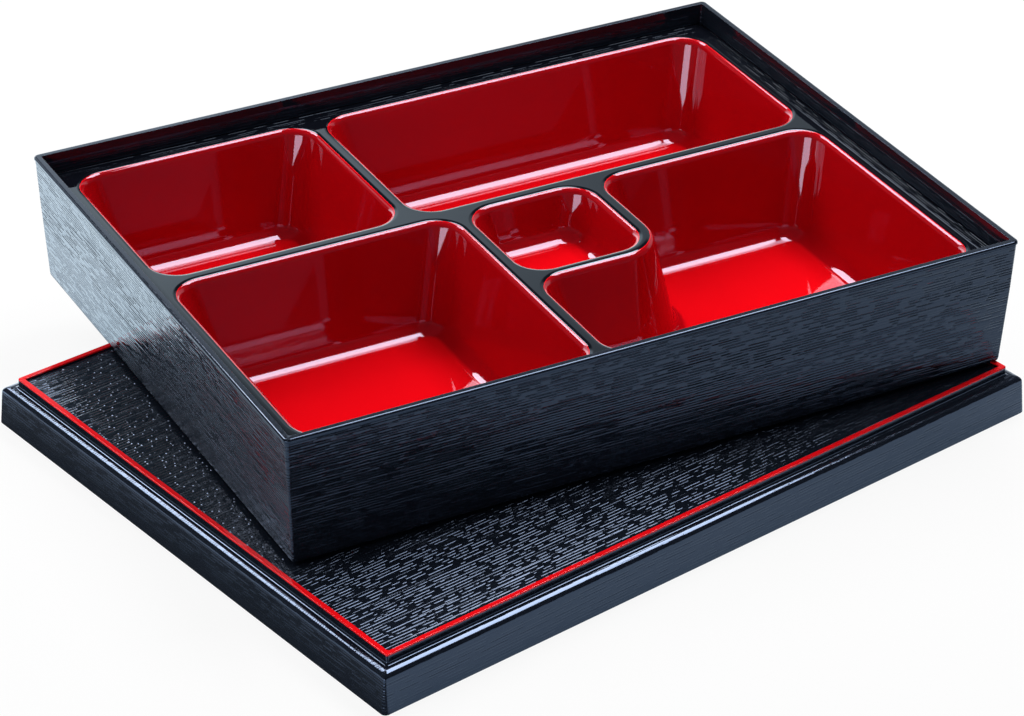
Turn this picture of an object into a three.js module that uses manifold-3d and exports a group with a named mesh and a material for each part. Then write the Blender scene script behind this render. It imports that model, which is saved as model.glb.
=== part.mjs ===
// A black and red bento box: an open box with a lift-out tray of five compartments,
// standing askew on its own lid, which lies face up on the table.
// Millimetres, +Z up, +X along the box's long side, +Y towards its back.
// The origin is on the table, in the middle of the whole.

import * as THREE from 'three';
import Module from 'manifold-3d';

const degrees = THREE.MathUtils.degToRad;

// Colours of the plastics.
const GRAINED_BLACK = '#14151b';
const GLOSSY_BLACK = '#0d0e12';
const RED = '#c4001a';

// Box: leaning walls, a plain floor and a smooth band round the rim.
const BOX_LENGTH = 329;          // along X, outside of the rim band
const BOX_DEPTH = 253;           // along Y, outside of the rim band
const BOX_HEIGHT = 58;
const BOX_WALL = 2.5;
const BOX_FLOOR = 2.25;
const BOX_LEAN = 2.75;           // how far each wall leans in from the rim to the foot
const BOX_CORNER = 2.5;          // upright corners, outside
const BOX_FOOT_ROUND = 1.5;      // edge under the box
const BOX_FLOOR_FILLET = 2;      // inside, where the walls meet the floor
const RIM_BAND = 1.3;            // height of the smooth band
const RIM_PROUD = 0.4;           // how far the band stands out from the wall below it
const RIM_ROUND = 0.55;          // edges of the rim

// Tray: one thin moulding that stands on the box's floor, with a black coat on its ridges.
const TRAY_CLEARANCE = 0.5;      // between the tray's edge and the box's walls
const TRAY_DROP = 9.25;          // from the box's rim down to the tray's top
const TRAY_WALL = 1.5;
const TRAY_CORNER = 3;
const END_FLANGE = 8.7;          // from the tray's left or right edge to the compartments
const SIDE_FLANGE = 7.25;        // from the tray's front or back edge to the compartments
const FLANGE_FALL = 0.1;         // how far the flange falls towards its edge
const RIDGE_WIDTH = 6;           // black ridge between two compartments
const COAT_SLOPE = degrees(27);  // steepness of the ridge's edge where black turns to red
const LIP_RADIUS = 3.25;         // round edge of each compartment's mouth
const WALL_DRAFT = degrees(13.5);
const MOUTH_CORNER = 13;         // corner radius of a mouth
const FLOOR_CORNER = 4;          // least corner radius at a compartment's floor
const FLOOR_FILLET = 8;

// Compartments, measured at their mouths: two at the back, two at the front and a small
// shallow one that the front right compartment wraps round.
const BACK_ROW_DEPTH = 95.75;
const BACK_LEFT_LENGTH = 109.5;
const FRONT_LEFT_LENGTH = 127.5;
const SMALL_LENGTH = 56.75;
const SMALL_DEPTH = 58;
const SMALL_HOLLOW = 21;         // depth of the small compartment below the tray's top
const SMALL_FRONT_RIDGE = 4.4;   // ridge in front of the small compartment

// Lid: a skirt that slips over the box's rim, a ledge, and a raised rim with a red line.
const LID_CLEARANCE = 0.6;       // between the box's rim and the skirt's narrow end
const LID_WALL = 2;
const LID_HEIGHT = 21.5;
const LID_FLARE = 1.3;           // how far the skirt spreads towards its mouth
const LID_CORNER = 2.25;         // upright corners, at the mouth
const LID_SHOULDER = 2.4;        // radius of the edge between skirt and ledge
const LEDGE_CROWN = 5;           // radius of the ledge's own round top
const CROWN_SLOPE = degrees(20); // steepness where the shoulder turns into the crown
const LEDGE_COVE = 1.2;          // hollow corner between ledge and raised rim
const LEDGE_HEIGHT = 17.25;
const LEDGE_WIDTH = 5.1;
const RED_LINE_WIDTH = 2.3;
const RED_LINE_THICKNESS = 0.6;
const RED_LINE_CORNER = 1;
const COAT_GAP = 0.3;            // between the red line and the rim that carries it
const PANEL_DROP = 1.1;          // the grained panel lies lower than the red line's top
const LID_TURN = degrees(11.4);  // how the lid lies under the box
const LID_SHIFT_X = -21.4;
const LID_SHIFT_Y = -38.8;

// Facets of a quarter circle in plan and in a profile.
const CORNER_FACETS = 6;
const PROFILE_FACETS = 3;

// Sizes that follow from those above.
const TRAY_TOP = BOX_HEIGHT - TRAY_DROP - BOX_FLOOR;      // above the box's floor
const COAT_THICKNESS = LIP_RADIUS * (1 - Math.cos(COAT_SLOPE));
const COAT_FOOT = TRAY_TOP - COAT_THICKNESS;              // where black turns to red
const WALL_SLOPE = Math.PI / 2 - WALL_DRAFT;
const LIP_CENTRE = -LIP_RADIUS * Math.sin(COAT_SLOPE);    // inset from the mouth's edge
const LIP_INSET = LIP_RADIUS * Math.sin(WALL_SLOPE) + LIP_CENTRE;
const DEEP_HOLLOW = TRAY_TOP - TRAY_WALL;                 // depth of those that stand on the floor
const BOX_LEAN_RATE = BOX_LEAN / BOX_HEIGHT;
const TRAY_EDGE_INSET = (TRAY_DROP + COAT_THICKNESS + TRAY_WALL) * BOX_LEAN_RATE
  + RIM_PROUD + BOX_WALL + TRAY_CLEARANCE;
const TRAY_LENGTH = BOX_LENGTH - 2 * TRAY_EDGE_INSET;
const TRAY_DEPTH = BOX_DEPTH - 2 * TRAY_EDGE_INSET;
const SKIRT_INSET = LID_CLEARANCE + LID_WALL + LID_FLARE; // from the lid's mouth to the box's rim
const LID_LENGTH = BOX_LENGTH + 2 * SKIRT_INSET;
const LID_DEPTH = BOX_DEPTH + 2 * SKIRT_INSET;
const RED_LINE_INSET = LID_FLARE + LEDGE_WIDTH;

const wasm = await Module();
wasm.setup();

// A closed outline with square corners, given counterclockwise, as corner points with radii.
function rectangle(xLow, xHigh, yLow, yHigh, radius) {
  return [
    { x: xLow, y: yLow, radius },
    { x: xHigh, y: yLow, radius },
    { x: xHigh, y: yHigh, radius },
    { x: xLow, y: yHigh, radius },
  ];
}

function centredRectangle(length, depth, radius) {
  return rectangle(-length / 2, length / 2, -depth / 2, depth / 2, radius);
}

// The outline's points after it is drawn in by inset, at height z. An inner corner keeps its
// centre and gets wider. An outer one gets sharper by sharpen, down to leastRadius.
function outlineLoop(corners, inset, z, sharpen, leastRadius) {
  const points = [];
  corners.forEach((corner, i) => {
    const before = corners[(i + corners.length - 1) % corners.length];
    const after = corners[(i + 1) % corners.length];
    const here = new THREE.Vector2(corner.x, corner.y);
    const into = here.clone().sub(before).normalize();
    const out = new THREE.Vector2(after.x, after.y).sub(here).normalize();
    const isOuter = into.cross(out) > 0;
    const radius = isOuter ? Math.max(corner.radius - sharpen, leastRadius) : corner.radius + inset;
    const apex = here.clone();
    apex.add(new THREE.Vector2(-into.y, into.x).multiplyScalar(inset));
    apex.add(new THREE.Vector2(-out.y, out.x).multiplyScalar(inset));
    const centre = apex.clone().addScaledVector(into, -radius).addScaledVector(out, radius);
    for (let k = 0; k <= CORNER_FACETS; k += 1) {
      const angle = (k / CORNER_FACETS) * Math.PI / 2;
      const point = centre.clone();
      point.addScaledVector(out, -radius * Math.cos(angle));
      point.addScaledVector(into, radius * Math.sin(angle));
      points.push(new THREE.Vector3(point.x, point.y, z));
    }
  });
  return points;
}

// A closed body through a row of loops. Its ends are capped, the first facing down and the
// last facing up, or joined to each other where the row is a ring.
function loft(loops, isRing = false) {
  const count = loops[0].length;
  const indices = [];
  const bands = isRing ? loops.length : loops.length - 1;
  for (let row = 0; row < bands; row += 1) {
    const low = row * count;
    const high = ((row + 1) % loops.length) * count;
    for (let i = 0; i < count; i += 1) {
      const next = (i + 1) % count;
      indices.push(low + i, low + next, high + next);
      indices.push(low + i, high + next, high + i);
    }
  }
  if (!isRing) {
    const flat = (loop) => loop.map((p) => new THREE.Vector2(p.x, p.y));
    const top = (loops.length - 1) * count;
    for (const [a, b, c] of THREE.ShapeUtils.triangulateShape(flat(loops[0]), [])) {
      indices.push(a, c, b);
    }
    for (const [a, b, c] of THREE.ShapeUtils.triangulateShape(flat(loops.at(-1)), [])) {
      indices.push(top + a, top + b, top + c);
    }
  }
  const geometry = new THREE.BufferGeometry().setFromPoints(loops.flat());
  geometry.setIndex(indices);
  return geometry;
}

// A body swept round an outline: each step of the profile is an inset and a height, and how
// much sharper the outer corners are there, which is the inset where nothing is said.
function sweep(corners, profile, leastRadius, isRing = false) {
  const loops = profile.map(([inset, z, sharpen = inset]) => (
    outlineLoop(corners, inset, z, sharpen, leastRadius)));
  return loft(loops, isRing);
}

// Points of a round profile edge about a centre, from one angle to another.
function arc(inset, z, radius, from, to) {
  const points = [];
  for (let k = 0; k <= PROFILE_FACETS; k += 1) {
    const angle = from + (to - from) * (k / PROFILE_FACETS);
    points.push([inset + radius * Math.cos(angle), z + radius * Math.sin(angle)]);
  }
  return points;
}

function toSolid(geometry) {
  return new wasm.Manifold(new wasm.Mesh({
    numProp: 3,
    vertProperties: new Float32Array(geometry.getAttribute('position').array),
    triVerts: new Uint32Array(geometry.getIndex().array),
  }));
}

function toGeometry(solid) {
  const mesh = solid.getMesh();
  const geometry = new THREE.BufferGeometry();
  geometry.setAttribute('position', new THREE.BufferAttribute(mesh.vertProperties, 3));
  geometry.setIndex(new THREE.BufferAttribute(mesh.triVerts, 1));
  return geometry;
}

function piece(name, geometry, material) {
  const mesh = new THREE.Mesh(geometry, material);
  mesh.name = name;
  return mesh;
}

function plastic(color, roughness) {
  return new THREE.MeshStandardMaterial({ color, roughness, metalness: 0 });
}

// Angles of profile edges, measured from the inward direction.
const INWARD = 0;
const UP = Math.PI / 2;
const OUTWARD = Math.PI;
const DOWN = 3 * Math.PI / 2;

// The box: up its outside, over the rim and down its inside.
function boxShell() {
  const footInset = RIM_PROUD + BOX_LEAN;
  const bandFoot = BOX_HEIGHT - RIM_BAND;
  const outerInset = (z) => RIM_PROUD + (BOX_HEIGHT - z) * BOX_LEAN_RATE;
  const innerInset = (z) => outerInset(z) + BOX_WALL;
  const filletTop = BOX_FLOOR + BOX_FLOOR_FILLET;
  const rimWidth = innerInset(BOX_HEIGHT);
  const profile = [
    ...arc(footInset + BOX_FOOT_ROUND, BOX_FOOT_ROUND, BOX_FOOT_ROUND, DOWN, OUTWARD),
    [outerInset(bandFoot - RIM_PROUD), bandFoot - RIM_PROUD],
    [0, bandFoot],
    ...arc(RIM_ROUND, BOX_HEIGHT - RIM_ROUND, RIM_ROUND, OUTWARD, UP),
    ...arc(rimWidth - RIM_ROUND, BOX_HEIGHT - RIM_ROUND, RIM_ROUND, UP, INWARD),
    ...arc(innerInset(filletTop) + BOX_FLOOR_FILLET, filletTop, BOX_FLOOR_FILLET, OUTWARD, DOWN),
  ];
  return sweep(centredRectangle(BOX_LENGTH, BOX_DEPTH, BOX_CORNER), profile, RIM_ROUND);
}

// Mouths of the five compartments, in the tray's own frame.
function compartments() {
  const right = TRAY_LENGTH / 2 - END_FLANGE;
  const back = TRAY_DEPTH / 2 - SIDE_FLANGE;
  const left = -right;
  const front = -back;
  const backRow = back - BACK_ROW_DEPTH;
  const frontRow = backRow - RIDGE_WIDTH;
  const backSplit = left + BACK_LEFT_LENGTH;
  const backRight = backSplit + RIDGE_WIDTH;
  const frontSplit = left + FRONT_LEFT_LENGTH;
  const smallLeft = frontSplit + RIDGE_WIDTH;
  const smallRight = smallLeft + SMALL_LENGTH;
  const smallFront = frontRow - SMALL_DEPTH;
  const wrapLeft = smallRight + RIDGE_WIDTH;
  const wrapBack = smallFront - SMALL_FRONT_RIDGE;
  const radius = MOUTH_CORNER;
  const wrapping = [
    { x: smallLeft, y: front, radius },
    { x: right, y: front, radius },
    { x: right, y: frontRow, radius },
    { x: wrapLeft, y: frontRow, radius },
    { x: wrapLeft, y: wrapBack, radius: MOUTH_CORNER + RIDGE_WIDTH },
    { x: smallLeft, y: wrapBack, radius },
  ];
  return [
    { mouth: rectangle(left, backSplit, backRow, back, radius), hollow: DEEP_HOLLOW },
    { mouth: rectangle(backRight, right, backRow, back, radius), hollow: DEEP_HOLLOW },
    { mouth: rectangle(left, frontSplit, front, frontRow, radius), hollow: DEEP_HOLLOW },
    { mouth: wrapping, hollow: DEEP_HOLLOW },
    { mouth: rectangle(smallLeft, smallRight, smallFront, frontRow, radius), hollow: SMALL_HOLLOW },
  ];
}

// How far the red wall has come in from the mouth's edge at height z.
function wallInset(z) {
  const lipFoot = TRAY_TOP - LIP_RADIUS * (1 - Math.cos(WALL_SLOPE));
  return LIP_INSET + (lipFoot - z) * Math.tan(WALL_DRAFT);
}

// Round foot of a compartment wall, from the floor up, drawn out by the given thickness.
// The wall above it keeps the radius that its corners have below the lip.
function wallFoot(floor, thickness) {
  const radius = FLOOR_FILLET + thickness;
  const centreHeight = floor + FLOOR_FILLET;
  const centreInset = wallInset(centreHeight) + FLOOR_FILLET / Math.cos(WALL_DRAFT);
  const wallRun = centreInset - FLOOR_FILLET * Math.cos(WALL_DRAFT) - LIP_INSET;
  const foot = arc(centreInset, centreHeight, radius, DOWN, OUTWARD + WALL_DRAFT);
  return foot.map(([inset, z]) => [inset, z, inset - wallRun]);
}

// The space of a compartment, from its floor to above the mouth.
function hollowSolid({ mouth, hollow }) {
  const lip = arc(LIP_CENTRE, TRAY_TOP - LIP_RADIUS, LIP_RADIUS, WALL_DRAFT, UP - COAT_SLOPE);
  const profile = [...wallFoot(TRAY_TOP - hollow, 0), ...lip, [0, TRAY_TOP]];
  return toSolid(sweep(mouth, profile, FLOOR_CORNER));
}

// The outside of a compartment, from below its floor up into the flange.
function cupSolid({ mouth, hollow }) {
  const cupTop = COAT_FOOT - TRAY_WALL / 2;
  const wallTop = wallInset(cupTop) - TRAY_WALL / Math.cos(WALL_DRAFT);
  const wall = [wallTop, cupTop, LIP_INSET - TRAY_WALL];
  const profile = [...wallFoot(TRAY_TOP - hollow, TRAY_WALL), wall];
  return toSolid(sweep(mouth, profile, FLOOR_CORNER));
}

// The red moulding: five cups under one flat flange.
function trayMoulding() {
  const outline = centredRectangle(TRAY_LENGTH, TRAY_DEPTH, TRAY_CORNER);
  const flange = [[0, COAT_FOOT - TRAY_WALL], [0, COAT_FOOT]];
  let solid = toSolid(sweep(outline, flange, TRAY_CORNER));
  for (const compartment of compartments()) {
    solid = solid.add(cupSolid(compartment));
  }
  for (const compartment of compartments()) {
    solid = solid.subtract(hollowSolid(compartment));
  }
  return toGeometry(solid);
}

// The black coat on the flange and the ridges, rounded down to each mouth.
function trayCoat() {
  const outline = centredRectangle(TRAY_LENGTH, TRAY_DEPTH, TRAY_CORNER);
  const edgeTop = TRAY_TOP - FLANGE_FALL;
  const layer = [[0, COAT_FOOT], [0, edgeTop], [SIDE_FLANGE / 2, TRAY_TOP]];
  let solid = toSolid(sweep(outline, layer, TRAY_CORNER));
  const lip = arc(LIP_CENTRE, TRAY_TOP - LIP_RADIUS, LIP_RADIUS, UP - COAT_SLOPE, UP);
  const above = [LIP_CENTRE, TRAY_TOP + COAT_THICKNESS];
  const below = [0, COAT_FOOT - COAT_THICKNESS];
  for (const { mouth } of compartments()) {
    solid = solid.subtract(toSolid(sweep(mouth, [below, ...lip, above], FLOOR_CORNER)));
  }
  return toGeometry(solid);
}

// The lid: down its inside, round the mouth, up the skirt and over ledge and rim to the panel.
function lidShell() {
  const rimTop = LID_HEIGHT - RED_LINE_THICKNESS - COAT_GAP;
  const panel = LID_HEIGHT - PANEL_DROP;
  const shoulderInset = LID_FLARE + LID_SHOULDER;
  const radiusStep = LEDGE_CROWN - LID_SHOULDER;
  const crownInset = shoulderInset + radiusStep * Math.sin(CROWN_SLOPE);
  const crownHeight = LEDGE_HEIGHT - LEDGE_CROWN;
  const shoulderHeight = crownHeight + radiusStep * Math.cos(CROWN_SLOPE);
  const turn = UP + CROWN_SLOPE;
  const crown = arc(crownInset, crownHeight, LEDGE_CROWN, turn, UP).slice(1);
  const coveInset = RED_LINE_INSET - LEDGE_COVE;
  const rimInner = RED_LINE_INSET + RED_LINE_WIDTH;
  const ceilingInset = RED_LINE_INSET + LID_WALL;
  const skirtInner = LID_FLARE + LID_WALL;
  const profile = [
    [ceilingInset, panel - LID_WALL],
    [ceilingInset, LEDGE_HEIGHT - LID_WALL],
    [skirtInner, LEDGE_HEIGHT - LID_WALL],
    [LID_WALL, 0],
    [0, 0],
    ...arc(shoulderInset, shoulderHeight, LID_SHOULDER, OUTWARD, turn),
    ...crown,
    ...arc(coveInset, LEDGE_HEIGHT + LEDGE_COVE, LEDGE_COVE, -UP, INWARD),
    [RED_LINE_INSET, rimTop],
    [rimInner, rimTop],
    [rimInner, panel],
  ];
  return sweep(centredRectangle(LID_LENGTH, LID_DEPTH, LID_CORNER), profile, RED_LINE_CORNER);
}

// The red line on the lid's raised rim.
function lidRedLine() {
  const foot = LID_HEIGHT - RED_LINE_THICKNESS;
  const outer = RED_LINE_INSET;
  const inner = RED_LINE_INSET + RED_LINE_WIDTH;
  const bevel = RED_LINE_THICKNESS / 2;
  const profile = [
    [inner, foot],
    [outer, foot],
    [outer, LID_HEIGHT - bevel],
    [outer + bevel, LID_HEIGHT],
    [inner, LID_HEIGHT],
  ];
  return sweep(centredRectangle(LID_LENGTH, LID_DEPTH, LID_CORNER), profile, RED_LINE_CORNER, true);
}

const tray = new THREE.Group();
tray.position.z = BOX_FLOOR;
tray.add(piece('tray_moulding', trayMoulding(), plastic(RED, 0.12)));
tray.add(piece('tray_black_coat', trayCoat(), plastic(GLOSSY_BLACK, 0.1)));

const box = new THREE.Group();
box.position.z = LID_HEIGHT;
box.add(piece('box_shell', boxShell(), plastic(GRAINED_BLACK, 0.35)));
box.add(tray);

const lid = new THREE.Group();
lid.position.set(LID_SHIFT_X, LID_SHIFT_Y, 0);
lid.rotation.z = LID_TURN;
lid.add(piece('lid_shell', lidShell(), plastic(GRAINED_BLACK, 0.35)));
lid.add(piece('lid_red_line', lidRedLine(), plastic(RED, 0.2)));

const bentoBox = new THREE.Group();
bentoBox.add(lid, box);

// The middle of the footprint goes to the origin.
const middle = new THREE.Box3().setFromObject(bentoBox, true).getCenter(new THREE.Vector3());
bentoBox.position.set(-middle.x, -middle.y, 0);

export default bentoBox;
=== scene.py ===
"""A black and red bento box on its own lid, dressed for a studio picture.

Every piece is swept from the same sizes as the solids, with finer round edges. The black mouldings
carry their embossed wood grain as grooves in the mesh, and the material adds the finest lines.
"""

import math
from typing import NamedTuple

import bmesh
import bpy
import numpy as np
from mathutils import Matrix, Vector, noise
from mathutils.geometry import tessellate_polygon


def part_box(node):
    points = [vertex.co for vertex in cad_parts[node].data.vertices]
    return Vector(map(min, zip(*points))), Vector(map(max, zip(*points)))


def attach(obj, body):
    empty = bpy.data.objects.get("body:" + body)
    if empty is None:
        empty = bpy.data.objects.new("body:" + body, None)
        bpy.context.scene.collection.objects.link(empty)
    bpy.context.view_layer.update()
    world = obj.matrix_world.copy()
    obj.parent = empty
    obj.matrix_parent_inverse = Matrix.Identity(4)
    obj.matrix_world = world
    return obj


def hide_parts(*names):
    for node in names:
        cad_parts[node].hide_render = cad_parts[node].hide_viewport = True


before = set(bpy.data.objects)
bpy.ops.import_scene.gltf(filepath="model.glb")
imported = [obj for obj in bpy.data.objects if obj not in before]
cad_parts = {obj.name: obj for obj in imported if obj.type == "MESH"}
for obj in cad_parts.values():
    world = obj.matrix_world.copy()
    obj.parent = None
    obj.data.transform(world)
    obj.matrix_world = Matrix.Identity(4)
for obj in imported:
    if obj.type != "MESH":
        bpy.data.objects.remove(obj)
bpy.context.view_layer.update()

MM = 0.001                     # pieces are sized in millimetres; lamps, camera and floor in metres


class Grooves(NamedTuple):
    """Sizes of a stretch of embossed grooves."""
    pitch: float
    half_width: float
    depth: float


class Step(NamedTuple):
    """One step of a swept profile."""
    inset: float
    z: float
    grained: float = 0         # how strongly the material's fine grain shows
    groove: int = None         # number of the groove that the step belongs to
    sink: float = 0            # how deep that groove lies at this step


# Box.
BOX_WALL = 2.5
BOX_FLOOR = 2.25
BOX_LEAN = 2.75                # how far each wall leans in from the rim to the foot
BOX_CORNER = 2.5
BOX_FOOT_ROUND = 1.5
BOX_FLOOR_FILLET = 2
RIM_BAND = 1.3                 # smooth band that stands proud round the rim
RIM_PROUD = 0.4
RIM_ROUND = 1                  # of its outer edge
RIM_INNER_ROUND = 0.1
INNER_BAND = 3.5               # smooth band inside the rim
INNER_GRAIN = 9                # height of the grained stretch under it

# Tray.
TRAY_DROP = 9.25               # from the box's rim down to the tray's top
TRAY_WALL = 1.5
TRAY_CORNER = 3
END_FLANGE = 8.7               # from the tray's left or right edge to the compartments
SIDE_FLANGE = 7.25             # from the tray's front or back edge to the compartments
FLANGE_FALL = 0.1
FLANGE_ROUND = 0.15
RIDGE_WIDTH = 6
COAT_SLOPE = math.radians(18)  # slope of the lip where black turns to red
RIDGE_CROWN = 5.8              # radius of a ridge's gently rounded top, beside the lip
CROWN_EDGE = math.radians(14)  # slope where that top turns into the lip
LIP_CENTRE = -1.475            # inset of the lip's centre from the mouth's edge
LIP_RADIUS = 3.25
WALL_DRAFT = math.radians(13.5)
MOUTH_CORNER = 13
FLOOR_CORNER = 4
FLOOR_FILLET = 8
BACK_ROW_DEPTH = 95.75
BACK_LEFT_LENGTH = 109.5
FRONT_LEFT_LENGTH = 127.5
SMALL_LENGTH = 56.75
SMALL_DEPTH = 58
SMALL_HOLLOW = 21
SMALL_FRONT_RIDGE = 4.4

# Lid.
LID_OVERHANG = 3.9             # from the box's rim to the edge of the lid's mouth
LID_WALL = 2
LID_FLARE = 1.3
LID_CORNER = 2.25
LID_SHOULDER = 2.4
LID_MOUTH_ROUND = 0.5
LEDGE_CROWN = 5
CROWN_SLOPE = math.radians(20)  # steepness where the shoulder turns into the ledge's crown
LEDGE_COVE = 1.2
LEDGE_HEIGHT = 17.25
LEDGE_WIDTH = 5.1
RED_LINE_WIDTH = 2.3
RED_LINE_THICKNESS = 0.6
RED_LINE_CORNER = 1
RED_LINE_ROUND = 0.25
PANEL_DROP = 1.1
PANEL_MARGIN = 0.6             # plain strip between the red line and the grained panel
LID_TURN = math.radians(11.4)

# Embossed grain: grooves that run along the walls and along the lid.
WALL_GROOVES = Grooves(pitch=1.25, half_width=0.3, depth=0.08)
INNER_GROOVES = Grooves(pitch=1.8, half_width=0.15, depth=0.05)
SKIRT_GROOVES = Grooves(pitch=2.2, half_width=0.4, depth=0.06)
PANEL_GROOVES = Grooves(pitch=4.2, half_width=0.35, depth=0.1)
GROOVE_STEP = 2.6              # mesh step along the grooves
GROOVE_WAVER = 0.35            # how far a groove wanders to either side
WAVER_LENGTH = 70
WIGGLE_LENGTH = 9
WIGGLE_SHARE = 0.3             # of the wandering
BREAK_LENGTH = 16              # grooves fade out and in again over about this length
GROOVE_PRESENCE = 0.8          # the higher, the less the grooves fade
LANE_SPACING = 5.3             # keeps the noise of one groove apart from the next
RIPPLE_STEP = 1.1              # mesh step across the grooves, on the lid's short sides
RIPPLE_DEPTH = 0.045
RIPPLE_LENGTH = 40
LEDGE_GRAIN = 0.3              # how strongly the fine grain shows on the lid's ledge
BOX_SEED = 3
LID_SEED = 11

GRAIN_MAP = "grain"            # UV map with the places along and across the grain
GRAIN_WEIGHT = "grained"       # attribute that says how strongly the fine grain shows

# Black plastic and its fine grain. The widths of a line are shares of the lines' pitch.
BLACK_LOW = (0.004, 0.0055, 0.009)
BLACK_HIGH = (0.008, 0.011, 0.018)
BLACK_TINT = (0.5, 0.66, 1)    # of its reflections
SATIN = (0.08, 0.15)           # its roughness, from smooth to rough spots
LINE_BOTTOM = 0.04             # half the width of a line's bottom
LINE_EDGE = 0.3                # half the width between its edges
LINE_WANDER = (14, 90, 1)      # bends of the lines per metre, along and across the grain
LINE_BREAK = (0.5, 0.57)       # levels of noise between which a line fades out
BEADS = (500, 900, 1)          # tiny beads per metre, along and across the grain
BEAD_HEIGHT = 0.2              # beside lines that are 1 deep
NOISE_RANGE = (0.3, 0.7)       # where most values of a noise lie

# Lacquer.
LACQUER_GLOSS = 0.8            # level of its reflections
CLOUDS = 14                    # per metre
CLOUD_SHARE = 0.2              # of the colour's change; painted shade by the face's slope makes the rest
CLOUD_ROUGHNESS = 1.4          # how many times rougher the cloudy spots are
STEEP_FACE = 0.9               # upward part of the normal where the lacquer is painted darkest, as shade on steep faces
LEVEL_FACE = 0.995             # and where it is painted brightest, as light on level faces
WAVES = 60                     # per metre
WAVE_HEIGHT = 0.01

# The floor's own white, as a share of its look where it is seen and where it is mirrored. In a strip
# beside the lid's left skirt a painted shadow makes the mirrored floor dark.
FLOOR_REACH = 4
FLOOR_COLOUR = (0.65, 0.65, 0.65)
FLOOR_WHITE_SEEN = 0.9
FLOOR_WHITE_MIRRORED = 0.6
MIRRORED_TINT = (0.66, 0.85, 1)
SHADOW_STRIP_MIDDLE = 9               # millimetres from the skirt
SHADOW_STRIP_EDGE = (9.6, 14.4)       # millimetres from its middle, between which the strip ends
SHADOW_STRIP_SHARE = 0.9              # of the painted shadow strip's own light in its mirror image
SHADOW_STRIP_LEVEL = 0.05             # how bright that light is: dark, as painted shadow

# The cove that lights the object from behind, under a dark ceiling. Directions are unit vectors.
COVE_MIDDLE = (0.5, 0.866, 0)  # where it stands, behind and to the right
COVE_ENDS = (0.42, 0.54)       # part along that direction between which it rises to full light
COVE_FRONT = 0.03              # its light beyond the ends
COVE_TOP = 0.48                # upward part where it starts to fade into the ceiling
CEILING_FOOT = 0.56            # upward part where the ceiling is reached
COVE_DIMMING = (0.33, 0.46)    # part to the right between which it dims
COVE_RIGHT = 0.35              # its light beyond that
COVE_STRENGTH = 1.4
COVE_COLOUR = (0.85, 0.95, 1)
CEILING_COLOUR = (0.03, 0.03, 0.035)
SHEEN_COLOUR = (0.75, 0.92, 1)

WHITE = (1, 1, 1)

# Facets of a quarter circle in plan and in a profile.
CORNER_FACETS = 10
PROFILE_FACETS = 6

# Angles between two faces above which their edge stays sharp.
SHARP_GROOVE = math.radians(20)
SHARP_EDGE = math.radians(50)

WELD_DISTANCE = 0.004

# Directions in a profile, as angles.
INWARD = 0
UP = math.pi / 2
OUTWARD = math.pi
DOWN = 3 * math.pi / 2

# Sizes and places that the frame gives.
box_low, box_high = (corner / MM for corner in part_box("box_shell"))
lid_low, lid_high = (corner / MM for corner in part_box("lid_shell"))
tray_low, tray_high = (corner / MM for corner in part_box("tray_black_coat"))
BOX_LENGTH = box_high.x - box_low.x
BOX_DEPTH = box_high.y - box_low.y
BOX_HEIGHT = box_high.z - box_low.z
TRAY_LENGTH = tray_high.x - tray_low.x
TRAY_DEPTH = tray_high.y - tray_low.y
TRAY_TOP = BOX_HEIGHT - TRAY_DROP - BOX_FLOOR
LID_HEIGHT = box_low.z
LID_LENGTH = BOX_LENGTH + 2 * LID_OVERHANG
LID_DEPTH = BOX_DEPTH + 2 * LID_OVERHANG
COAT_THICKNESS = LIP_RADIUS * (1 - math.cos(COAT_SLOPE))
COAT_FOOT = TRAY_TOP - COAT_THICKNESS
LIP_INSET = LIP_RADIUS * math.cos(WALL_DRAFT) + LIP_CENTRE
CROWN_CENTRE = LIP_CENTRE - (RIDGE_CROWN - LIP_RADIUS) * math.sin(CROWN_EDGE)
RIDGE_TOP = TRAY_TOP + (RIDGE_CROWN - LIP_RADIUS) * (1 - math.cos(CROWN_EDGE))
LIP_FOOT = TRAY_TOP - LIP_RADIUS * (1 - math.sin(WALL_DRAFT))
DEEP_HOLLOW = TRAY_TOP - TRAY_WALL
RED_LINE_INSET = LID_FLARE + LEDGE_WIDTH

box_middle = (box_low + box_high) / 2
lid_middle = (lid_low + lid_high) / 2
BOX_PLACE = Matrix.Translation((box_middle.x, box_middle.y, box_low.z))
TRAY_PLACE = BOX_PLACE @ Matrix.Translation((0, 0, BOX_FLOOR))
LID_PLACE = Matrix.Translation((lid_middle.x, lid_middle.y, 0)) @ Matrix.Rotation(LID_TURN, 4, "Z")


def rectangle(x_low, x_high, y_low, y_high, radius):
    """Corners of an outline, counterclockwise, each as x, y and radius."""
    return [
        (x_low, y_low, radius),
        (x_high, y_low, radius),
        (x_high, y_high, radius),
        (x_low, y_high, radius),
    ]


def centred_rectangle(length, depth, radius):
    """A rectangle about the origin that starts at its back right corner, where a seam isn't seen."""
    corners = rectangle(-length / 2, length / 2, -depth / 2, depth / 2, radius)
    return corners[2:] + corners[:2]


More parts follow.
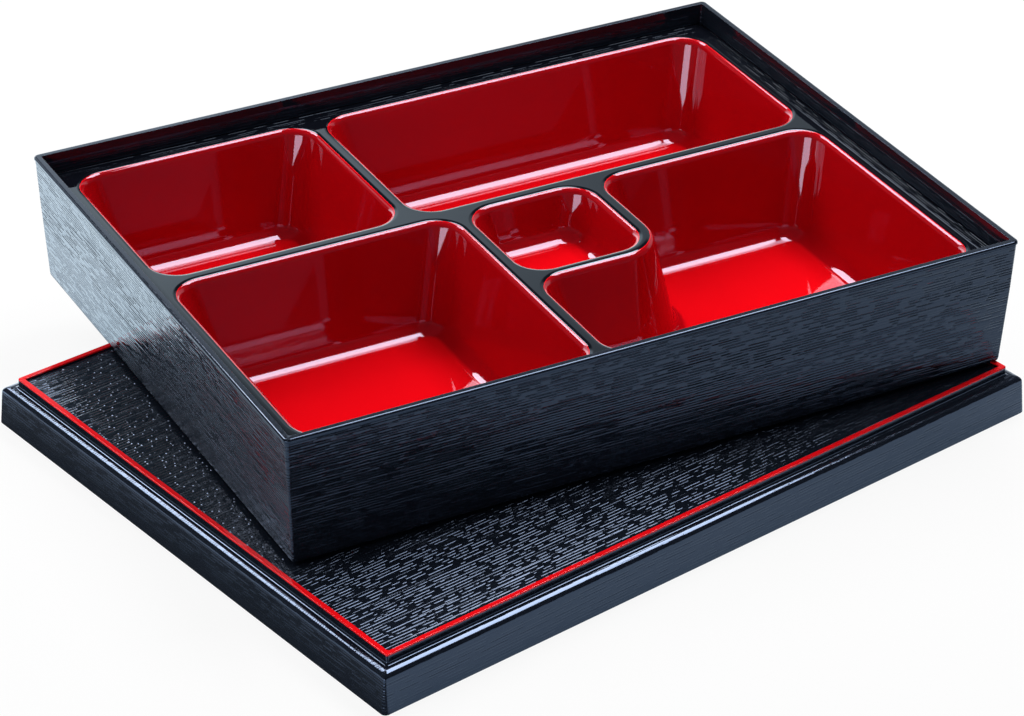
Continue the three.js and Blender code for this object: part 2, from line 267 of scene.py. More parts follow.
def outline(corners, inset, least_radius, steps=None, sharpen=None):
    """Plan points of the outline drawn in by inset. Inner corners widen by the inset. Outer ones
    sharpen by it, or by sharpen, down to least_radius. Each straight side is cut into its steps."""
    steps = steps or [1] * len(corners)
    sharpen = inset if sharpen is None else sharpen
    arcs = []
    for i, (x, y, corner_radius) in enumerate(corners):
        here = np.array((x, y))
        into = here - np.array(corners[i - 1][:2])
        out = np.array(corners[(i + 1) % len(corners)][:2]) - here
        into = into / np.linalg.norm(into)
        out = out / np.linalg.norm(out)
        is_outer = into[0] * out[1] - into[1] * out[0] > 0
        radius = max(corner_radius - sharpen, least_radius) if is_outer else corner_radius + inset
        apex = here + inset * np.array((-into[1] - out[1], into[0] + out[0]))
        centre = apex + radius * (out - into)
        angles = np.linspace(0, math.pi / 2, CORNER_FACETS + 1)[:, None]
        arcs.append(centre + radius * (np.sin(angles) * into - np.cos(angles) * out))
    points = []
    for i, arc_points in enumerate(arcs):
        start = arc_points[-1]
        end = arcs[(i + 1) % len(arcs)][0]
        shares = np.linspace(0, 1, steps[i] + 1)[1:-1, None]
        points += [arc_points, start + shares * (end - start)]
    return np.concatenate(points)


def arc(inset, z, radius, start, end, facets=PROFILE_FACETS):
    """Points of a round profile edge about a centre, from one angle to another."""
    angles = np.linspace(start, end, facets + 1)
    return [(inset + radius * math.cos(angle), z + radius * math.sin(angle)) for angle in angles]


def plain(points):
    """Profile steps without grain."""
    return [Step(inset, z) for inset, z in points]


def faintly_grained(points):
    """Profile steps of the lid's ledge."""
    return [Step(inset, z, grained=LEDGE_GRAIN) for inset, z in points]


def groove_lanes(length, grooves):
    """Places across a stretch of grooves, each with its groove's number and depth: for every groove its
    two edges and its bottom."""
    count = int(length / grooves.pitch)
    pitch = length / count
    lanes = []
    for number in range(count):
        middle = (number + 0.5) * pitch
        lanes.append((middle - grooves.half_width, number, 0))
        lanes.append((middle, number, grooves.depth))
        lanes.append((middle + grooves.half_width, number, 0))
    return lanes


def grooved(start, end, grooves):
    """Profile steps of a straight stretch with grooves."""
    length = math.dist(start, end)
    steps = []
    for place, number, sink in groove_lanes(length, grooves):
        inset, z = np.array(start) + place / length * np.subtract(end, start)
        steps.append(Step(inset, z, grained=1, groove=number, sink=sink))
    return steps


def smooth_step(value):
    """Eases a value from 0 to 1 and holds it there outside."""
    value = min(max(value, 0), 1)
    return value * value * (3 - 2 * value)


def groove_course(along, number, seed):
    """How far a groove has wandered to one side at a place, and the share of its depth there."""
    lane = number * LANE_SPACING
    waver = noise.noise((along / WAVER_LENGTH, lane, seed))
    wiggle = noise.noise((along / WIGGLE_LENGTH, lane, seed + 1))
    presence = noise.noise((along / BREAK_LENGTH, lane, seed + 2))
    return GROOVE_WAVER * (waver + WIGGLE_SHARE * wiggle), smooth_step(GROOVE_PRESENCE + presence)


def ledge_ripple(x, y):
    """How deep the grain, which runs along X, cuts into the lid's ledge."""
    return RIPPLE_DEPTH * noise.noise((x / RIPPLE_LENGTH, y / RIPPLE_STEP, LID_SEED))


def add_object(name, data):
    """Puts an object with this data into the scene."""
    thing = bpy.data.objects.new(name, data)
    bpy.context.scene.collection.objects.link(thing)
    return thing


class Shape:
    """The points, faces and grain coordinates of a mesh while it is put together."""

    def __init__(self):
        self.points = []
        self.faces = []
        self.slots = []        # for each face, the number of its material
        self.places = []       # for each face corner, the place along and across the grain
        self.weights = []      # for each point, how strongly the fine grain shows there
        self.count = 0

    def add_points(self, points, weights=None):
        start = self.count
        self.points.append(np.asarray(points, float))
        self.weights.append(np.zeros(len(points)) if weights is None else np.asarray(weights, float))
        self.count += len(points)
        return list(range(start, self.count))

    def add_face(self, indices, places=None, slot=0):
        corners = list(indices)
        self.faces.append(corners)
        self.slots.append(slot)
        self.places += places or [(0, 0)] * len(corners)

    def add_band(self, low, high, low_places=None, high_places=None):
        """Quads between two closed loops of one length; places have one more entry, for the seam."""
        count = len(low)
        for i in range(count):
            j = (i + 1) % count
            places = None
            if low_places is not None:
                places = [low_places[i], low_places[i + 1], high_places[i + 1], high_places[i]]
            self.add_face((low[i], low[j], high[j], high[i]), places)

    def add_sheet(self, rings, faces_up):
        """A flat face with holes: rings of indices that lie in one plane, the outer one first."""
        where = np.concatenate(self.points)
        loops = [[Vector(where[i]) for i in ring] for ring in rings]
        flat = [i for ring in rings for i in ring]
        for triangle in tessellate_polygon(loops):
            a, b, c = (flat[k] for k in triangle)
            side = np.cross(where[b] - where[a], where[c] - where[a])[2]
            self.add_face((a, b, c) if (side > 0) == faces_up else (a, c, b))

    def finish(self, name, place, materials, sharp):
        """Makes the object, in the row frame and in metres. Flat faces stay flat beside round edges."""
        mesh = bpy.data.meshes.new(name)
        mesh.from_pydata(np.concatenate(self.points).tolist(), [], self.faces)
        mesh.polygons.foreach_set("material_index", self.slots)
        grain = mesh.uv_layers.new(name=GRAIN_MAP)
        grain.data.foreach_set("uv", (np.array(self.places, float) * MM).ravel())
        weight = mesh.attributes.new(GRAIN_WEIGHT, "FLOAT", "POINT")
        weight.data.foreach_set("value", np.concatenate(self.weights))
        welded = bmesh.new()
        welded.from_mesh(mesh)
        bmesh.ops.remove_doubles(welded, verts=welded.verts, dist=WELD_DISTANCE)
        bmesh.ops.recalc_face_normals(welded, faces=welded.faces)
        welded.to_mesh(mesh)
        welded.free()
        mesh.transform(Matrix.Scale(MM, 4) @ place)
        mesh.shade_smooth()
        mesh.set_sharp_from_angle(angle=sharp)
        for material in materials:
            mesh.materials.append(material)
        piece = add_object(name, mesh)
        weighted = piece.modifiers.new("flat_faces", "WEIGHTED_NORMAL")
        weighted.mode = "FACE_AREA"
        weighted.keep_sharp = True
        return piece


def add_swept_shell(shape, corners, profile, least_radius, steps, seed, ripple=None):
    """Sweeps a profile round an outline, with the grain pressed into it. The grain runs round the
    outline, or along X on flat stretches where there is a ripple. Returns the index loops."""
    plans = [outline(corners, step.inset, least_radius, steps) for step in profile]
    lengths = np.linalg.norm(np.roll(plans[0], -1, axis=0) - plans[0], axis=1)
    along = np.concatenate([[0], np.cumsum(lengths)])
    heights = np.array([(step.inset, step.z) for step in profile])
    across = np.concatenate([[0], np.cumsum(np.linalg.norm(np.diff(heights, axis=0), axis=1))])
    tangents = np.gradient(heights, axis=0)
    tangents /= np.linalg.norm(tangents, axis=1)[:, None]
    loops = []
    for step, plan, (inward, upward) in zip(profile, plans, tangents):
        ahead = np.roll(plan, -1, axis=0) - np.roll(plan, 1, axis=0)
        outward = np.column_stack([ahead[:, 1], -ahead[:, 0]])
        outward /= np.linalg.norm(outward, axis=1)[:, None]
        normal = np.column_stack([outward * upward, np.full(len(plan), inward)])
        onward = np.column_stack([outward * -inward, np.full(len(plan), upward)])
        points = np.column_stack([plan, np.full(len(plan), step.z)])
        if step.groove is not None:
            courses = np.array([groove_course(distance, step.groove, seed) for distance in along[:-1]])
            points += onward * courses[:, :1] - normal * step.sink * courses[:, 1:]
        elif step.grained and ripple:
            points -= normal * np.array([ripple(x, y) for x, y in plan])[:, None]
        loops.append(shape.add_points(points, np.full(len(plan), step.grained)))
    for row in range(len(loops) - 1):
        inward, upward = heights[row + 1] - heights[row]
        if ripple and abs(inward) > abs(upward):
            places = [[*map(tuple, plan), tuple(plan[0])] for plan in plans[row:row + 2]]
        else:
            places = [[(distance, place) for distance in along] for place in across[row:row + 2]]
        shape.add_band(loops[row], loops[row + 1], *places)
    return loops


def side_steps(length, depth, along, across):
    """Steps of the four sides of a rectangle, starting with a long one."""
    long_side = round(length / along)
    short_side = round(depth / across)
    return [long_side, short_side, long_side, short_side]


def make_box(material):
    """The box: up its outside, over the rim and down its inside."""
    lean_rate = BOX_LEAN / BOX_HEIGHT
    band_foot = BOX_HEIGHT - RIM_BAND

    def outer(z):
        return RIM_PROUD + (BOX_HEIGHT - z) * lean_rate

    def inner(z):
        return outer(z) + BOX_WALL

    wall_start = (outer(BOX_FOOT_ROUND), BOX_FOOT_ROUND)
    wall_end = (outer(band_foot - RIM_PROUD), band_foot - RIM_PROUD)
    rim_width = inner(BOX_HEIGHT)
    inner_edge = BOX_HEIGHT - RIM_INNER_ROUND
    grain_top = BOX_HEIGHT - INNER_BAND
    grain_foot = grain_top - INNER_GRAIN
    fillet_top = BOX_FLOOR + BOX_FLOOR_FILLET
    inner_top = (inner(grain_top), grain_top)
    inner_foot = (inner(grain_foot), grain_foot)
    profile = [
        *plain(arc(outer(0) + BOX_FOOT_ROUND, BOX_FOOT_ROUND, BOX_FOOT_ROUND, DOWN, OUTWARD)),
        *grooved(wall_start, wall_end, WALL_GROOVES),
        *plain([wall_end, (0, band_foot)]),
        *plain(arc(RIM_ROUND, BOX_HEIGHT - RIM_ROUND, RIM_ROUND, OUTWARD, UP)),
        *plain(arc(rim_width - RIM_INNER_ROUND, inner_edge, RIM_INNER_ROUND, UP, INWARD)),
        *plain([inner_top]),
        *grooved(inner_top, inner_foot, INNER_GROOVES),
        *plain([inner_foot]),
        *plain(arc(inner(fillet_top) + BOX_FLOOR_FILLET, fillet_top, BOX_FLOOR_FILLET, OUTWARD, DOWN)),
    ]
    shape = Shape()
    steps = side_steps(BOX_LENGTH, BOX_DEPTH, GROOVE_STEP, GROOVE_STEP)
    corners = centred_rectangle(BOX_LENGTH, BOX_DEPTH, BOX_CORNER)
    loops = add_swept_shell(shape, corners, profile, RIM_ROUND, steps, BOX_SEED)
    shape.add_face(reversed(loops[0]))
    shape.add_face(loops[-1])
    return shape.finish("box_moulding", BOX_PLACE, [material], SHARP_GROOVE)


def make_lid(material, panel_material):
    """The lid: down its inside, round the mouth, up the skirt, over ledge and rim, and the panel."""
    panel = LID_HEIGHT - PANEL_DROP
    rim_top = LID_HEIGHT - RED_LINE_THICKNESS
    rim_inner = RED_LINE_INSET + RED_LINE_WIDTH
    ceiling = LEDGE_HEIGHT - LID_WALL
    ceiling_inset = RED_LINE_INSET + LID_WALL
    shoulder_inset = LID_FLARE + LID_SHOULDER
    radius_step = LEDGE_CROWN - LID_SHOULDER
    crown_inset = shoulder_inset + radius_step * math.sin(CROWN_SLOPE)
    crown_height = LEDGE_HEIGHT - LEDGE_CROWN
    shoulder_height = crown_height + radius_step * math.cos(CROWN_SLOPE)
    turn = UP + CROWN_SLOPE
    cove_inset = RED_LINE_INSET - LEDGE_COVE
    profile = [
        *plain([(ceiling_inset, panel - LID_WALL), (ceiling_inset, ceiling)]),
        *plain([(LID_FLARE + LID_WALL, ceiling), (LID_WALL, 0)]),
        *plain(arc(LID_MOUTH_ROUND, LID_MOUTH_ROUND, LID_MOUTH_ROUND, DOWN, OUTWARD)),
        *grooved((0, LID_MOUTH_ROUND), (LID_FLARE, shoulder_height), SKIRT_GROOVES),
        *faintly_grained(arc(shoulder_inset, shoulder_height, LID_SHOULDER, OUTWARD, turn)),
        *faintly_grained(arc(crown_inset, crown_height, LEDGE_CROWN, turn, UP)[1:]),
        *plain(arc(cove_inset, LEDGE_HEIGHT + LEDGE_COVE, LEDGE_COVE, -UP, INWARD)),
        *plain([(RED_LINE_INSET, rim_top), (rim_inner, rim_top), (rim_inner, panel)]),
    ]
    shape = Shape()
    steps = side_steps(LID_LENGTH, LID_DEPTH, GROOVE_STEP, RIPPLE_STEP)
    corners = centred_rectangle(LID_LENGTH, LID_DEPTH, LID_CORNER)
    loops = add_swept_shell(shape, corners, profile, RED_LINE_CORNER, steps, LID_SEED, ledge_ripple)
    shape.add_face(reversed(loops[0]))
    edge_inset = rim_inner + PANEL_MARGIN
    edge = add_panel(shape, LID_LENGTH - 2 * edge_inset, LID_DEPTH - 2 * edge_inset, panel)
    shape.add_sheet([loops[-1], edge], faces_up=True)
    return shape.finish("lid_moulding", LID_PLACE, [material, panel_material], SHARP_GROOVE)


def add_panel(shape, length, depth, height):
    """The lid's grained panel: a grid with rows along the grooves. Returns the edge's indices."""
    xs = np.linspace(-length / 2, length / 2, round(length / GROOVE_STEP) + 1)
    lanes = [(0, None, 0), *groove_lanes(depth, PANEL_GROOVES), (depth, None, 0)]
    ys = [place - depth / 2 for place, _, _ in lanes]
    rows = []
    for y, (_, number, sink) in zip(ys, lanes):
        points = [(x, y, height) for x in xs]
        if number is not None:
            for i in range(1, len(xs) - 1):
                waver, share = groove_course(xs[i], number, LID_SEED)
                points[i] = (xs[i], y + waver, height - sink * share)
        rows.append(shape.add_points(points, np.ones(len(xs))))
    for j in range(len(ys) - 1):
        for i in range(len(xs) - 1):
            places = [(xs[i], ys[j]), (xs[i + 1], ys[j]), (xs[i + 1], ys[j + 1]), (xs[i], ys[j + 1])]
            quad = (rows[j][i], rows[j][i + 1], rows[j + 1][i + 1], rows[j + 1][i])
            shape.add_face(quad, places, slot=1)
    right = [row[-1] for row in rows[1:-1]]
    left = [row[0] for row in rows[1:-1]]
    return rows[0] + right + rows[-1][::-1] + left[::-1]


def add_loops(shape, corners, profile, least_radius):
    """Bands through a profile of inset and height, with how much the outer corners sharpen where that
    isn't the inset."""
    loops = []
    for inset, z, *sharpen in profile:
        plan = outline(corners, inset, least_radius, None, *sharpen)
        loops.append(shape.add_points(np.column_stack([plan, np.full(len(plan), z)])))
    for first, second in zip(loops, loops[1:]):
        shape.add_band(first, second)
    return loops


def make_red_line(material):
    """The red line on the lid's raised rim, rounded along both edges."""
    foot = LID_HEIGHT - RED_LINE_THICKNESS
    outer = RED_LINE_INSET
    inner = RED_LINE_INSET + RED_LINE_WIDTH
    centre = LID_HEIGHT - RED_LINE_ROUND
    profile = [
        (inner, foot),
        (outer, foot),
        *arc(outer + RED_LINE_ROUND, centre, RED_LINE_ROUND, OUTWARD, UP),
        *arc(inner - RED_LINE_ROUND, centre, RED_LINE_ROUND, UP, INWARD),
    ]
    shape = Shape()
    corners = centred_rectangle(LID_LENGTH, LID_DEPTH, LID_CORNER)
    loops = add_loops(shape, corners, profile, RED_LINE_CORNER)
    shape.add_band(loops[-1], loops[0])
    return shape.finish("lid_line", LID_PLACE, [material], SHARP_EDGE)


def compartments():
    """Mouths of the five compartments with their depths, in the tray's own frame."""
    right = TRAY_LENGTH / 2 - END_FLANGE
    back = TRAY_DEPTH / 2 - SIDE_FLANGE
    left = -right
    front = -back
    back_row = back - BACK_ROW_DEPTH
    front_row = back_row - RIDGE_WIDTH
    back_split = left + BACK_LEFT_LENGTH
    front_split = left + FRONT_LEFT_LENGTH
    small_left = front_split + RIDGE_WIDTH
    small_right = small_left + SMALL_LENGTH
    small_front = front_row - SMALL_DEPTH
    wrap_left = small_right + RIDGE_WIDTH
    wrap_back = small_front - SMALL_FRONT_RIDGE
    wrapping = [
        (small_left, front, MOUTH_CORNER),
        (right, front, MOUTH_CORNER),
        (right, front_row, MOUTH_CORNER),
        (wrap_left, front_row, MOUTH_CORNER),
        (wrap_left, wrap_back, MOUTH_CORNER + RIDGE_WIDTH),
        (small_left, wrap_back, MOUTH_CORNER),
    ]
    return [
        (rectangle(left, back_split, back_row, back, MOUTH_CORNER), DEEP_HOLLOW),
        (rectangle(back_split + RIDGE_WIDTH, right, back_row, back, MOUTH_CORNER), DEEP_HOLLOW),
        (rectangle(left, front_split, front, front_row, MOUTH_CORNER), DEEP_HOLLOW),
        (wrapping, DEEP_HOLLOW),
        (rectangle(small_left, small_right, small_front, front_row, MOUTH_CORNER), SMALL_HOLLOW),
    ]


def wall_inset(z):
    """How far the red wall has come in from the mouth's edge at height z."""
    return LIP_INSET + (LIP_FOOT - z) * math.tan(WALL_DRAFT)


def wall_foot(floor, thickness):
    """Round foot of a compartment wall, from the wall down to the floor. The wall above it keeps the
    radius that its corners have below the lip."""
    centre_height = floor + FLOOR_FILLET
    centre_inset = wall_inset(centre_height) + FLOOR_FILLET / math.cos(WALL_DRAFT)
    wall_run = centre_inset - FLOOR_FILLET * math.cos(WALL_DRAFT) - LIP_INSET
    foot = arc(centre_inset, centre_height, FLOOR_FILLET + thickness, OUTWARD + WALL_DRAFT, DOWN)
    return [(inset, z, inset - wall_run) for inset, z in foot]


def make_tray(material):
    """The red moulding: five cups under one flat flange."""
    shape = Shape()
    tray = centred_rectangle(TRAY_LENGTH, TRAY_DEPTH, TRAY_CORNER)
    flange_foot = COAT_FOOT - TRAY_WALL
    edge = add_loops(shape, tray, [(0, COAT_FOOT), (0, flange_foot)], TRAY_CORNER)
    mouths = []
    cups = []
    for corners, hollow in compartments():
        floor = TRAY_TOP - hollow
        lip = arc(LIP_CENTRE, TRAY_TOP - LIP_RADIUS, LIP_RADIUS, UP - COAT_SLOPE, WALL_DRAFT)
        inside = add_loops(shape, corners, lip + wall_foot(floor, 0), FLOOR_CORNER)
        cup_inset = wall_inset(flange_foot) - TRAY_WALL / math.cos(WALL_DRAFT)
        cup_top = (cup_inset, flange_foot, LIP_INSET - TRAY_WALL)
        outside = add_loops(shape, corners, [cup_top] + wall_foot(floor, TRAY_WALL), FLOOR_CORNER)
        shape.add_face(inside[-1])
        shape.add_face(reversed(outside[-1]))
        mouths.append(inside[0])
        cups.append(outside[0])
    shape.add_sheet([edge[0]] + mouths, faces_up=True)
    shape.add_sheet([edge[1]] + cups, faces_up=False)
    return shape.finish("tray_cups", TRAY_PLACE, [material], SHARP_EDGE)


def make_coat(material):
    """The black coat on the flange and the ridges, rounded down to each mouth."""
    shape = Shape()
    tray = centred_rectangle(TRAY_LENGTH, TRAY_DEPTH, TRAY_CORNER)
    edge_top = TRAY_TOP - FLANGE_FALL
    crest = (SIDE_FLANGE / 2, RIDGE_TOP)
    edge_round = arc(FLANGE_ROUND, edge_top - FLANGE_ROUND, FLANGE_ROUND, OUTWARD, UP)
    edge = add_loops(shape, tray, [(0, COAT_FOOT)] + edge_round + [crest], TRAY_CORNER)
    mouths = []
    feet = []
    for corners, _ in compartments():
        crown = arc(CROWN_CENTRE, RIDGE_TOP - RIDGE_CROWN, RIDGE_CROWN, UP, UP - CROWN_EDGE)
        lip = arc(LIP_CENTRE, TRAY_TOP - LIP_RADIUS, LIP_RADIUS, UP - CROWN_EDGE, UP - COAT_SLOPE)
        loops = add_loops(shape, corners, crown + lip[1:], FLOOR_CORNER)
        mouths.append(loops[0])
        feet.append(loops[-1])
    shape.add_sheet([edge[-1]] + mouths, faces_up=True)
    shape.add_sheet([edge[0]] + feet, faces_up=False)
    return shape.finish("tray_coat", TRAY_PLACE, [material], SHARP_EDGE)


class Nodes:
    """The node tree of a material or a world, with short ways to add and link nodes."""

    def __init__(self, owner):
        owner.use_nodes = True
        self.owner = owner
        self.tree = owner.node_tree
        self.tree.nodes.clear()

    def add(self, kind, **settings):
        node = self.tree.nodes.new(kind)
        for key, value in settings.items():
            setattr(node, key, value)
        return node

    def link(self, output, socket):
        self.tree.links.new(output, socket)

    def noise(self, source, scale, detail):
        """Noise on coordinates that are stretched by scale, which counts features per metre."""
        stretch = self.add("ShaderNodeVectorMath", operation="MULTIPLY")
        stretch.inputs[1].default_value = scale
        self.link(source, stretch.inputs[0])
        texture = self.add("ShaderNodeTexNoise")
        texture.inputs["Scale"].default_value = 1
        texture.inputs["Detail"].default_value = detail
        self.link(stretch.outputs[0], texture.inputs["Vector"])
        return texture.outputs["Fac"]

    def map(self, value, start, end, low, high):
        """Carries a value smoothly from one range over to another."""
        node = self.add("ShaderNodeMapRange", interpolation_type="SMOOTHSTEP")
        node.inputs["From Min"].default_value = start
        node.inputs["From Max"].default_value = end
        node.inputs["To Min"].default_value = low
        node.inputs["To Max"].default_value = high
        self.link(value, node.inputs["Value"])
        return node.outputs["Result"]

    def math(self, operation, first, second=0):
        node = self.add("ShaderNodeMath", operation=operation)
        for socket, value in zip(node.inputs, (first, second)):
            if isinstance(value, (int, float)):
                socket.default_value = value
            else:
                self.link(value, socket)
        return node.outputs[0]

    def axes(self, vector):
        """The three parts of a vector."""
        node = self.add("ShaderNodeSeparateXYZ")
        self.link(vector, node.inputs[0])
        return node.outputs

    def part_along(self, vector, direction):
        """How far a vector goes along a direction."""
        node = self.add("ShaderNodeVectorMath", operation="DOT_PRODUCT")
        node.inputs[1].default_value = direction
        self.link(vector, node.inputs[0])
        return node.outputs["Value"]

    def ramp(self, value, low, high, socket):
        """A colour between two, on a socket."""
        node = self.add("ShaderNodeValToRGB")
        node.color_ramp.elements[0].color = (*low, 1)
        node.color_ramp.elements[1].color = (*high, 1)
        self.link(value, node.inputs[0])
        self.link(node.outputs[0], socket)

    def bump(self, height, distance, shader):
        node = self.add("ShaderNodeBump")
        node.inputs["Distance"].default_value = distance
        self.link(height, node.inputs["Height"])
        self.link(node.outputs[0], shader.inputs["Normal"])

    def principled(self, specular, tint):
        """A glossy plastic shader on the material's output."""
        shader = self.add("ShaderNodeBsdfPrincipled")
        shader.inputs["Specular IOR Level"].default_value = specular
        shader.inputs["Specular Tint"].default_value = (*tint, 1)
        self.finish(shader.outputs[0], "ShaderNodeOutputMaterial")
        return shader

    def mix(self, share, first, second, kind):
        """Two shaders on the output, the second with this share."""
        node = self.add("ShaderNodeMixShader")
        self.link(share, node.inputs["Fac"])
        self.link(first.outputs[0], node.inputs[1])
        self.link(second.outputs[0], node.inputs[2])
        self.finish(node.outputs[0], kind)

    def finish(self, output, kind):
        self.link(output, self.add(kind).inputs["Surface"])


def fine_lines(nodes, grain, lines, breaks):
    """Height of the finest grain, 0 in a groove and 1 beside it: so many lines per metre across the
    grain, with so many breaks per metre along it."""
    axes = nodes.axes(grain)
    wander = nodes.noise(grain, LINE_WANDER, detail=1)
    lane = nodes.math("ADD", nodes.math("MULTIPLY", axes["Y"], lines), wander)
    distance = nodes.math("ABSOLUTE", nodes.math("SUBTRACT", nodes.math("FRACT", lane), 0.5))
    line = nodes.map(distance, LINE_BOTTOM, LINE_EDGE, 0, 1)
    place = nodes.add("ShaderNodeCombineXYZ")
    nodes.link(axes["X"], place.inputs["X"])
    nodes.link(nodes.math("FLOOR", lane), place.inputs["Y"])
    presence = nodes.noise(place.outputs[0], (breaks, LANE_SPACING, 1), detail=1)
    return nodes.math("MAXIMUM", line, nodes.map(presence, *LINE_BREAK, 0, 1))


def grained_plastic(name, specular, lines, breaks, depth):
    """Satin black plastic with an embossed wood grain, so deep in millimetres."""
    nodes = Nodes(bpy.data.materials.new(name))
    shader = nodes.principled(specular, BLACK_TINT)
    grain = nodes.add("ShaderNodeUVMap", uv_map=GRAIN_MAP).outputs["UV"]
    weight = nodes.add("ShaderNodeAttribute", attribute_name=GRAIN_WEIGHT).outputs["Fac"]
    beads = nodes.noise(grain, BEADS, detail=1)
    fine = fine_lines(nodes, grain, lines, breaks)
    height = nodes.math("ADD", fine, nodes.math("MULTIPLY", beads, BEAD_HEIGHT))
    nodes.bump(nodes.math("MULTIPLY", height, weight), depth * MM, shader)
    nodes.ramp(beads, BLACK_LOW, BLACK_HIGH, shader.inputs["Base Color"])
    nodes.link(nodes.map(beads, *NOISE_RANGE, *SATIN), shader.inputs["Roughness"])
    return nodes.owner


def lacquer(name, low, high, tint, roughness, specular=LACQUER_GLOSS):
    """Glossy sprayed lacquer with painted shade: darker on steep faces and brighter on level ones, as if
    lit from above, faintly cloudy, and with the soft unevenness of a moulded surface."""
    nodes = Nodes(bpy.data.materials.new(name))
    shader = nodes.principled(specular, tint)
    place = nodes.add("ShaderNodeTexCoord").outputs["Object"]
    clouds = nodes.noise(place, (CLOUDS, CLOUDS, CLOUDS), detail=3)
    waves = nodes.noise(place, (WAVES, WAVES, WAVES), detail=1)
    normal = nodes.axes(nodes.add("ShaderNodeNewGeometry").outputs["Normal"])
    # Painted shade: the colour darkens as the face turns steep and brightens as it turns level, as if
    # lit from above; the clouds add random tone.
    level = nodes.map(normal["Z"], STEEP_FACE, LEVEL_FACE, 0, 1 - CLOUD_SHARE)
    thickness = nodes.math("ADD", level, nodes.math("MULTIPLY", clouds, CLOUD_SHARE))
    nodes.ramp(thickness, low, high, shader.inputs["Base Color"])
    nodes.bump(waves, WAVE_HEIGHT * MM, shader)
    cloudy = nodes.map(clouds, *NOISE_RANGE, roughness, roughness * CLOUD_ROUGHNESS)
    nodes.link(cloudy, shader.inputs["Roughness"])
    return nodes.owner


def floor_white():
    """Pale, with white to the camera and a bluish white in reflections, there with a painted shadow
    strip.
    """
    nodes = Nodes(bpy.data.materials.new("floor_white"))
    diffuse = nodes.add("ShaderNodeBsdfDiffuse")
    diffuse.inputs["Color"].default_value = (*FLOOR_COLOUR, 1)
    white = nodes.add("ShaderNodeEmission")
    path = nodes.add("ShaderNodeLightPath").outputs
    mirrored = nodes.math("MAXIMUM", path["Is Glossy Ray"], path["Is Transmission Ray"])
    seen = nodes.math("MULTIPLY", path["Is Camera Ray"], FLOOR_WHITE_SEEN)
    lid_axis = LID_PLACE.col[0].xyz
    # A painted shadow: a strip beside the lid's left skirt that darkens only the floor's mirror image.
    strip = lid_middle.dot(lid_axis) - LID_LENGTH / 2 - SHADOW_STRIP_MIDDLE
    place = nodes.part_along(nodes.add("ShaderNodeTexCoord").outputs["Object"], lid_axis)
    from_shadow_strip = nodes.math("ABSOLUTE", nodes.math("SUBTRACT", place, strip * MM))
    edge = [distance * MM for distance in SHADOW_STRIP_EDGE]
    mirror_share = nodes.map(from_shadow_strip, *edge, SHADOW_STRIP_SHARE, FLOOR_WHITE_MIRRORED)
    share = nodes.math("MAXIMUM", seen, nodes.math("MULTIPLY", mirrored, mirror_share))
    mirror_level = nodes.map(from_shadow_strip, *edge, SHADOW_STRIP_LEVEL, 1)
    strength = nodes.math("MAXIMUM", path["Is Camera Ray"], mirror_level)
    nodes.link(strength, white.inputs["Strength"])
    nodes.ramp(path["Is Camera Ray"], MIRRORED_TINT, WHITE, white.inputs["Color"])
    nodes.mix(share, diffuse, white, "ShaderNodeOutputMaterial")
    return nodes.owner


def make_floor(material):
    """A wide floor that keeps the object's shadow."""
    mesh = bpy.data.meshes.new("floor")
    reach = FLOOR_REACH
    corners = [(-reach, -reach, 0), (reach, -reach, 0), (reach, reach, 0), (-reach, reach, 0)]
    mesh.from_pydata(corners, [], [(0, 1, 2, 3)])
    mesh.materials.append(material)
    floor = add_object("floor", mesh)


def make_world():
    """White to the camera; for light and reflections a cove, bright behind, dimmer to the right and dim
    in front, under a dark ceiling."""
    nodes = Nodes(bpy.data.worlds.new("studio"))
    bpy.context.scene.world = nodes.owner
    direction = nodes.add("ShaderNodeTexCoord").outputs["Generated"]
    axes = nodes.axes(direction)
    low = nodes.map(axes["Z"], CEILING_FOOT, COVE_TOP, 0, 1)
    behind = nodes.map(nodes.part_along(direction, COVE_MIDDLE), *COVE_ENDS, COVE_FRONT, 1)
    dimmer_right = nodes.map(axes["X"], *COVE_DIMMING, 1, COVE_RIGHT)
    level = nodes.math("MULTIPLY", nodes.math("MULTIPLY", low, behind), dimmer_right)
    cove = nodes.add("ShaderNodeBackground")
    cove.inputs["Strength"].default_value = COVE_STRENGTH
    nodes.ramp(level, CEILING_COLOUR, COVE_COLOUR, cove.inputs["Color"])
    white = nodes.add("ShaderNodeBackground")
    white.inputs["Color"].default_value = (*WHITE, 1)
    seen = nodes.add("ShaderNodeLightPath").outputs["Is Camera Ray"]
    nodes.mix(seen, cove, white, "ShaderNodeOutputWorld")


def add_softbox(name, place, aim, width, height, level, colour=WHITE):
    """An evenly lit rectangle that faces aim; at level 1 a mirror shows it just white."""
    lamp = bpy.data.lights.new(name, "AREA")
    lamp.shape = "RECTANGLE"
    lamp.size = width
    lamp.size_y = height
    lamp.energy = level * math.pi * width * height
    lamp.color = colour
    softbox = add_object(name, lamp)
    softbox.location = place
    softbox.visible_camera = False
    softbox.rotation_euler = (Vector(aim) - Vector(place)).to_track_quat("-Z", "Y").to_euler()
    return softbox


def add_camera():
    """The photograph's view, placed from the middle of the box's foot."""
    box_foot = BOX_PLACE.translation * MM
    place = box_foot + Vector((-0.62695, -1.16691, 0.7846))
    aim = box_foot + Vector((-0.03512, -0.0624, 0.0235))
    roll = math.radians(-0.43)
    camera = bpy.data.cameras.new("camera")
    camera.lens = 128.09
    camera.sensor_width = 36
    holder = add_object("camera", camera)
    turn = (aim - place).to_track_quat("-Z", "Y").to_matrix() @ Matrix.Rotation(-roll, 3, "Z")
    holder.location = place
    holder.rotation_euler = turn.to_euler()
    bpy.context.scene.camera = holder


def dress(piece, body, node):
    """Puts a piece on its body in place of a solid, which it hides."""
    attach(piece, body)
    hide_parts(node)


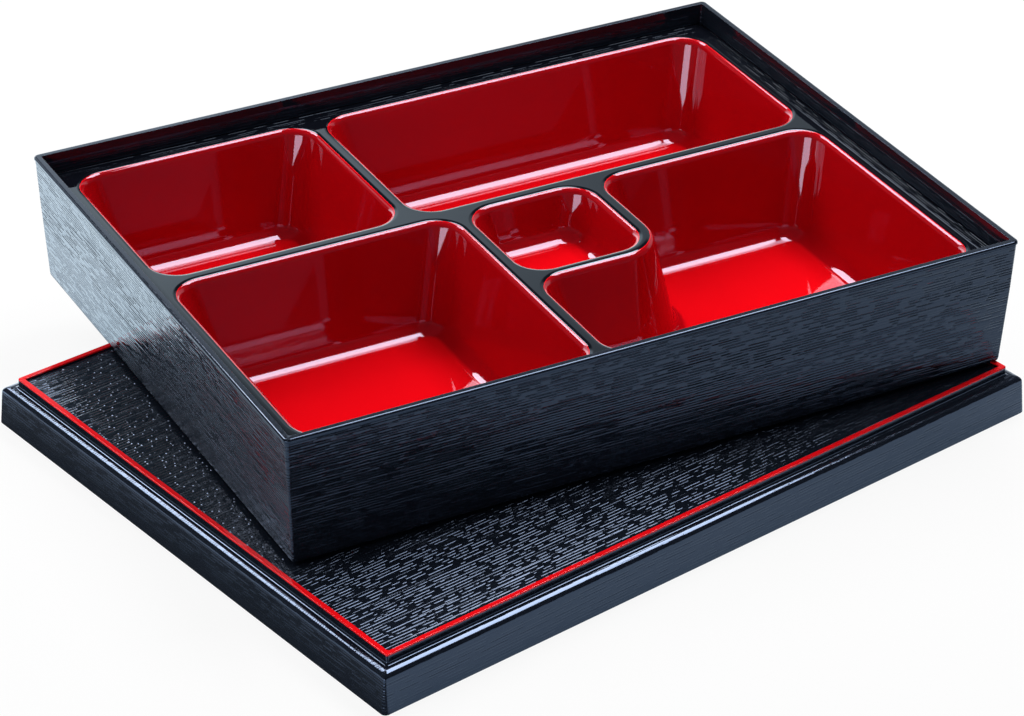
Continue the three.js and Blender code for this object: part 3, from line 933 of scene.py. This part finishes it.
# Materials.
box_black = grained_plastic("box_black_plastic", specular=0.7, lines=800, breaks=120, depth=0.13)
lid_black = grained_plastic("lid_black_plastic", specular=1, lines=800, breaks=120, depth=0.06)
panel_black = grained_plastic("panel_black_plastic", specular=0.72, lines=620, breaks=220, depth=0.15)
# Each lacquer's low colour is painted shade for its steep faces, its high colour painted light for its
# level faces.
red = lacquer(
    "red_lacquer",
    low=(0.33, 0.001, 0.004),
    high=(0.74, 0.002, 0.006),
    tint=(0.9, 0.75, 1),
    roughness=0.03,
)
gloss_black = lacquer(
    "black_lacquer",
    low=(0.0015, 0.002, 0.004),
    high=(0.003, 0.0035, 0.006),
    tint=(0.6, 0.8, 1),
    roughness=0.03,
    specular=0.65,
)
line_red = lacquer(
    "line_red_paint",
    low=(0.74, 0.003, 0.006),
    high=(0.82, 0.005, 0.009),
    tint=(0.9, 0.3, 0.35),
    roughness=0.05,
)

# Pieces.
dress(make_box(box_black), "box", "box_shell")
dress(make_tray(red), "tray", "tray_moulding")
dress(make_coat(gloss_black), "tray", "tray_black_coat")
dress(make_lid(lid_black, panel_black), "lid", "lid_shell")
dress(make_red_line(line_red), "lid", "lid_red_line")

# Studio.
make_floor(floor_white())
make_world()
add_softbox(
    "key_overhead",
    place=(0.625, 0.325, 1.25),
    aim=(0.625, 0.325, 0),
    width=0.65,
    height=1.05,
    level=11.5,
)
add_softbox(
    "strip_overhead",
    place=(-0.2, 1.17, 1.25),
    aim=(-0.2, 1.17, 0),
    width=0.9,
    height=0.65,
    level=10,
)
add_softbox(
    "backdrop",
    place=(0.45, 1.6, 0.33),
    aim=(0.45, 0, 0.33),
    width=2.9,
    height=0.55,
    level=1.6,
)
fill = add_softbox(
    "fill_left",
    place=(-1.2, 0.2, 0.9),
    aim=(0, 0, 0.06),
    width=0.8,
    height=0.8,
    level=3.5,
)
fill.visible_glossy = False    # it lights the left without a mirror image of its own
add_softbox(
    "card_left",
    place=(-1.05, -0.55, 0.19),
    aim=(0, 0, 0.06),
    width=0.7,
    height=0.3,
    level=5,
)
# Lies on the floor behind at the left, where the left wall mirrors it.
add_softbox(
    "table_sheen",
    place=(-0.21, 0.335, 0.003),
    aim=(-0.21, 0.335, 1),
    width=0.13,
    height=0.45,
    level=1.7,
    colour=SHEEN_COLOUR,
)
add_camera()
bpy.context.scene.view_settings.view_transform = "Standard"
